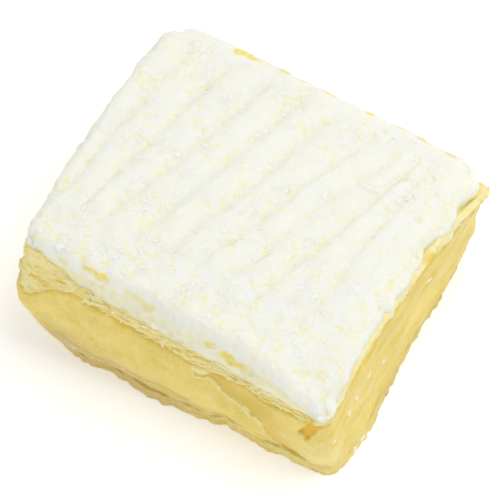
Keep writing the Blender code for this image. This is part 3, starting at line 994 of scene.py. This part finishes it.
class Recipe:
    """A material under way: a Principled shader and the nodes that feed it."""

    def __init__(self, name, **values):
        self.material = bpy.data.materials.new(name)
        self.material.use_nodes = True
        self.tree = self.material.node_tree
        self.shader = self.tree.nodes["Principled BSDF"]
        self.place = self.add("ShaderNodeTexCoord").outputs["Object"]
        for socket, value in values.items():
            self.shader.inputs[socket.replace("_", " ")].default_value = value

    def add(self, kind, **settings):
        node = self.tree.nodes.new(kind)
        for setting, value in settings.items():
            setattr(node, setting, value)
        return node

    def plug(self, node, socket, value):
        if isinstance(value, bpy.types.NodeSocket):
            self.tree.links.new(value, node.inputs[socket])
        else:
            node.inputs[socket].default_value = value

    def cloud(self, place, scale, detail, roughness, distortion=0):
        node = self.add("ShaderNodeTexNoise")
        values = dict(Vector=place, Scale=scale, Detail=detail, Roughness=roughness, Distortion=distortion)
        for socket, value in values.items():
            self.plug(node, socket, value)
        return node.outputs[0]

    def noise(self, size, detail=3, stretch=(1, 1, 1), roughness=0.5, distortion=0):
        """Noise from 0 to 1 with lumps of that size in millimetres, drawn out along each axis by stretch."""
        spread = self.add("ShaderNodeMapping")
        spread.inputs["Scale"].default_value = [1 / s for s in stretch]
        self.plug(spread, "Vector", self.place)
        return self.cloud(spread.outputs[0], 1 / (size * MM), detail, roughness, distortion)

    def leaves(self, length, thick):
        """Noise from 0 to 1 in lines that run along a layer's side."""
        spot = self.add("ShaderNodeCombineXYZ")
        self.plug(spot, "X", self.times(self.mark("along"), 1 / length))
        self.plug(spot, "Y", self.times(self.mark("across"), 1 / thick))
        return self.cloud(spot.outputs[0], 1.0, 4, 0.6)

    def mark(self, name):
        return self.add("ShaderNodeAttribute", attribute_name=name).outputs["Fac"]

    def span(self, value, lo, hi, to_lo=0.0, to_hi=1.0):
        """Moves a value from one range to another, with an ease at both ends."""
        node = self.add("ShaderNodeMapRange", interpolation_type="SMOOTHSTEP")
        for socket, number in zip(range(5), (value, lo, hi, to_lo, to_hi)):
            self.plug(node, socket, number)
        return node.outputs[0]

    def sum(self, a, b, operation="ADD"):
        node = self.add("ShaderNodeMath", operation=operation)
        self.plug(node, 0, a)
        self.plug(node, 1, b)
        return node.outputs[0]

    def times(self, a, b):
        return self.sum(a, b, "MULTIPLY")

    def blend(self, share, a, b):
        node = self.add("ShaderNodeMix", data_type="RGBA")
        self.plug(node, 0, share)
        self.plug(node, 6, a if isinstance(a, bpy.types.NodeSocket) else (*a, 1))
        self.plug(node, 7, b if isinstance(b, bpy.types.NodeSocket) else (*b, 1))
        return node.outputs[2]

    def wash(self, colour, share, tone, strength=1):
        """Lays a tone over a colour, as thickly as share and strength say."""
        return self.blend(share if strength == 1 else self.times(share, strength), colour, tone)

    def bump(self, height, depth, under=None):
        """Fine relief of that depth in millimetres."""
        node = self.add("ShaderNodeBump")
        self.plug(node, "Height", height)
        self.plug(node, "Distance", depth * MM)
        if under is not None:
            self.plug(node, "Normal", under)
        return node.outputs[0]

    def finish(self, colour, normal, roughness=None):
        self.plug(self.shader, "Base Color", colour)
        self.plug(self.shader, "Normal", normal)
        if roughness is not None:
            self.plug(self.shader, "Roughness", roughness)
        return self.material


def cream_material():
    tone = CREAM_TONES
    r = Recipe(
        "whipped_cream", Subsurface_Weight=0.6, Subsurface_Radius=(1.0, 0.92, 0.75), Subsurface_Scale=0.0022
    )
    colour = r.blend(r.span(r.noise(9, 3), 0.35, 0.65), tone["warm"], tone["cool"])
    colour = r.wash(colour, r.span(r.noise(0.9, 5, roughness=0.7), 0.35, 0.7), tone["fine"], 0.4)
    colour = r.wash(colour, r.span(r.noise(0.3, 2, roughness=0.7), 0.35, 0.65), tone["tiny"], 0.35)
    # The cut side: partly a stain and partly painted shade and warm bounce light.
    side = r.times(r.mark("side"), r.span(r.noise(3.5, 3), 0.3, 0.7, 0.45, 1.0))
    colour = r.wash(colour, side, tone["side"])
    dip = r.times(r.mark("dip"), r.span(r.noise(0.9, 4, roughness=0.65), 0.45, 0.6, 0.05, 1.0))
    gap = r.times(r.mark("gap"), r.span(r.noise(0.8, 3), 0.4, 0.6, 0.2, 0.9))
    crumb = r.span(r.noise(0.75, 5, roughness=0.7, distortion=1.0), 0.535, 0.66)
    crumb = r.times(crumb, r.span(r.noise(5, 3), 0.42, 0.62, 0.2, 1.0))
    colour = r.wash(colour, r.sum(r.sum(r.sum(dip, gap), crumb), 1.0, "MINIMUM"), tone["crumb"])
    smear = r.times(r.mark("smear"), r.span(r.noise(1.3, 4), 0.3, 0.6, 0.6, 1.0))
    colour = r.wash(colour, smear, tone["smear"])
    normal = r.bump(r.noise(0.5, 4, roughness=0.7), 0.13)
    return r.finish(colour, r.bump(r.noise(1.8, 3), 0.08, normal), r.span(r.noise(1.5), 0.3, 0.7, 0.55, 0.75))


def flake_material(name, white, cream):
    """Dry bits: white in places and creamier in others."""
    r = Recipe(name, Specular_IOR_Level=0.3)
    colour = r.blend(r.span(r.noise(3.0, 2), 0.4, 0.7), white, cream)
    return r.finish(colour, r.bump(r.noise(0.4, 3), 0.04), r.span(r.noise(1.5), 0.3, 0.7, 0.5, 0.7))


def custard_material():
    tone = CUSTARD_TONES
    r = Recipe(
        "set_custard", Subsurface_Weight=0.25, Subsurface_Radius=(1.0, 0.65, 0.18), Subsurface_Scale=0.0022
    )
    broad = r.span(r.noise(13, 3, distortion=0.5), 0.32, 0.68)
    colour = r.blend(broad, tone["dark"], tone["light"])
    colour = r.wash(colour, r.span(r.noise(4.5, 4, distortion=0.5), 0.35, 0.7), tone["mottle"], 0.6)
    streak = r.times(r.mark("drag"), r.span(r.noise(2.0, 4, stretch=(5, 5, 1)), 0.3, 0.7))
    colour = r.wash(colour, streak, tone["streak"], 0.9)
    colour = r.wash(colour, r.span(r.noise(1.1, 4, roughness=0.65), 0.5, 0.68), tone["spot"], 0.85)
    colour = r.wash(colour, r.span(r.noise(0.45, 3, roughness=0.7), 0.36, 0.64), tone["grain"], 0.5)
    colour = r.wash(colour, r.mark("shade"), tone["shade"], 0.8)
    # A painted highlight on the ledge, painted shade low down, and the stains with painted shade in the slot
    # and under the lid.
    for mark in ("lip", "low", "deep"):
        colour = r.wash(colour, r.mark(mark), tone[mark])
    normal = r.bump(r.noise(0.9, 4, roughness=0.6), 0.10)
    normal = r.bump(r.noise(3.0, 2, stretch=(3, 3, 1)), 0.2, normal)
    return r.finish(colour, normal, r.span(r.noise(2.5), 0.3, 0.7, 0.32, 0.5))


def pastry_material(name, bright, pale, ochre, deep, low):
    """Moist pastry leaves: pale, ochre in patches, painted light at top and right, painted shade in hollows
    and low down.
    """
    r = Recipe(name, Subsurface_Weight=0.1, Subsurface_Radius=(1.0, 0.75, 0.35), Subsurface_Scale=0.0006)
    patch = r.span(r.sum(r.noise(2.4, 4, distortion=0.4), r.times(r.mark("leaf"), 0.5)), 0.55, 0.95)
    colour = r.blend(patch, pale, ochre)
    # Painted light on the right side and near the top.
    colour = r.wash(colour, r.mark("pale"), bright, 0.6)
    lines = r.leaves(5.0, 0.55)
    colour = r.wash(colour, r.span(lines, 0.5, 0.68), ochre, 0.75)
    colour = r.wash(colour, r.span(lines, 0.42, 0.3), LEAF_EDGE, 0.6)
    edge_lines = r.times(r.span(r.leaves(9.0, 0.33), 0.5, 0.62), r.mark("pale"))
    colour = r.wash(colour, edge_lines, ochre, 0.7)
    colour = r.wash(colour, r.span(r.noise(1.0, 4, stretch=(1.8, 1.8, 0.6)), 0.45, 0.66), ochre, 0.45)
    # Painted shade in the hollows between the leaves.
    colour = r.wash(colour, r.mark("hollow"), deep, 0.32)
    colour = r.wash(colour, r.mark("smear"), LID_STAIN, 0.8)
    # Painted shade at the layer's foot.
    colour = r.wash(colour, r.mark("low"), low, 0.85)
    normal = r.bump(lines, 0.25)
    normal = r.bump(r.noise(0.6, 4, stretch=(1.5, 1.5, 0.5), roughness=0.6), 0.14, normal)
    return r.finish(colour, normal, r.span(r.noise(1.4), 0.3, 0.7, 0.45, 0.7))


def floor_material():
    r = Recipe("pale_floor", Roughness=0.9, Emission_Color=(1.0, 1.0, 1.0, 1.0), Emission_Strength=0.24)
    colour = r.blend(r.noise(300, 2), *FLOOR_TONES)
    return r.finish(colour, r.bump(r.noise(4, 2), 0.02))


# ---- Stage --------------------------------------------------------------------------------------

CAMERA = dict(azimuth=29.2, elevation=57.5, distance=446.5, target=(-6.125, 9.87, 0.0), lens=127.8)
# Soft lights: (place in mm, size in mm, power in watts, colour). Each points at the slice.
LIGHTS = (
    ((165, 140, 560), 420, 1.47, (1.0, 0.99, 0.97)),
    ((-120, -520, 300), 400, 0.2, (1.0, 0.995, 0.98)),
)
SKY = (1.0, 1.0, 1.0)
SKY_STRENGTH = 0.61
LIGHT_AIM = (0, 0, 20)
FLOOR_HALF = 3  # half the floor's side, in metres
FLOOR_DROP = 0.05  # how far the floor lies below the slice, in mm


def aim(thing, place, target):
    thing.location = Vector(place) * MM
    thing.rotation_mode = "QUATERNION"
    thing.rotation_quaternion = (Vector(target) - Vector(place)).to_track_quat("-Z", "Y")


def add_camera():
    a, e = np.radians((CAMERA["azimuth"], CAMERA["elevation"]))
    back = np.array((np.sin(a) * np.cos(e), -np.cos(a) * np.cos(e), np.sin(e)))
    camera = bpy.data.objects.new("camera", bpy.data.cameras.new("camera"))
    camera.data.lens = CAMERA["lens"]
    camera.data.sensor_width = 36
    camera.data.clip_start = 0.01
    bpy.context.scene.collection.objects.link(camera)
    aim(camera, back * CAMERA["distance"] + CAMERA["target"], CAMERA["target"])
    bpy.context.scene.camera = camera


def add_lights():
    for number, (place, size, power, colour) in enumerate(LIGHTS):
        data = bpy.data.lights.new(f"softbox_{number}", "AREA")
        data.shape = "DISK"
        data.size = size * MM
        data.energy = power
        data.color = colour
        light = bpy.data.objects.new(data.name, data)
        bpy.context.scene.collection.objects.link(light)
        aim(light, place, LIGHT_AIM)
    world = bpy.data.worlds.new("sky")
    world.use_nodes = True
    sky = world.node_tree.nodes["Background"]
    sky.inputs["Color"].default_value = (*SKY, 1)
    sky.inputs["Strength"].default_value = SKY_STRENGTH
    bpy.context.scene.world = world
    bpy.context.scene.view_settings.view_transform = "Standard"


def add_floor():
    bm = bmesh.new()
    drop = Matrix.Translation((0, 0, -FLOOR_DROP * MM))
    bmesh.ops.create_grid(bm, x_segments=4, y_segments=4, size=FLOOR_HALF, matrix=drop)
    floor = bpy.data.objects.new("floor", finish_mesh("floor", bm))
    floor.data.materials.append(floor_material())
    bpy.context.scene.collection.objects.link(floor)
    floor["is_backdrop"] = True


# ---- The slice ----------------------------------------------------------------------------------


def add_scatter(cream, others, pastry):
    """Everything that lies loose on the slice: coconut, pastry chips, white flecks and pale crumbs."""
    luck = np.random.default_rng(7)
    on_cream, on_sides = surface_of(cream), surface_of(cream, *others)
    coconut = flake_material("coconut", **COCONUT_TONES)
    crumb = flake_material("pale_crumb", **CRUMB_TONES)

    def drop(kind):
        return top_places(on_cream, COUNTS[kind], coconut_share, luck)

    def throw(kind, span):
        return side_places(on_sides, COUNTS[kind], span, luck)

    flakes = drop("flakes")
    add_piece("coconut_flakes", scatter("coconut_flakes", FLAKES, flakes, luck), coconut)
    grains = drop("grains") + throw("rim_grains", (1.1, 1.8))
    add_piece("coconut_grains", scatter("coconut_grains", GRAINS, grains, luck), coconut)
    chips = throw("chips", (0.15, 1.15))
    add_piece("pastry_chips", scatter("pastry_chips", CHIPS, chips, luck), pastry)
    add_piece("cream_flecks", fleck_mesh("cream_flecks", WHITE_FLECKS, on_sides, 261), crumb)
    crumbs = throw("crumbs", (0.05, 1.0)) + throw("low_crumbs", (-3.0, 0.0))
    add_piece("pale_crumbs", scatter("pale_crumbs", CRUMBS, crumbs, luck), crumb)


def build():
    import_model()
    add_camera()
    add_lights()
    add_floor()
    moist = pastry_material("moist_leaves", **MOIST_TONES)
    pressed = pastry_material("pressed_leaves", **PRESSED_TONES)
    add_piece("pressed_base", pastry_layer("pressed_base", BASE), pressed, ["pastry_base"])
    add_piece("custard_filling", custard_filling(), custard_material(), ["custard"])
    add_piece("flaky_lid", pastry_layer("flaky_lid", LID), moist, ["pastry_lid"])
    cream = add_piece("cream_topping", cream_topping(), cream_material(), ["cream_top"])
    add_scatter(cream, [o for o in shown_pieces() if o is not cream], moist)


build()
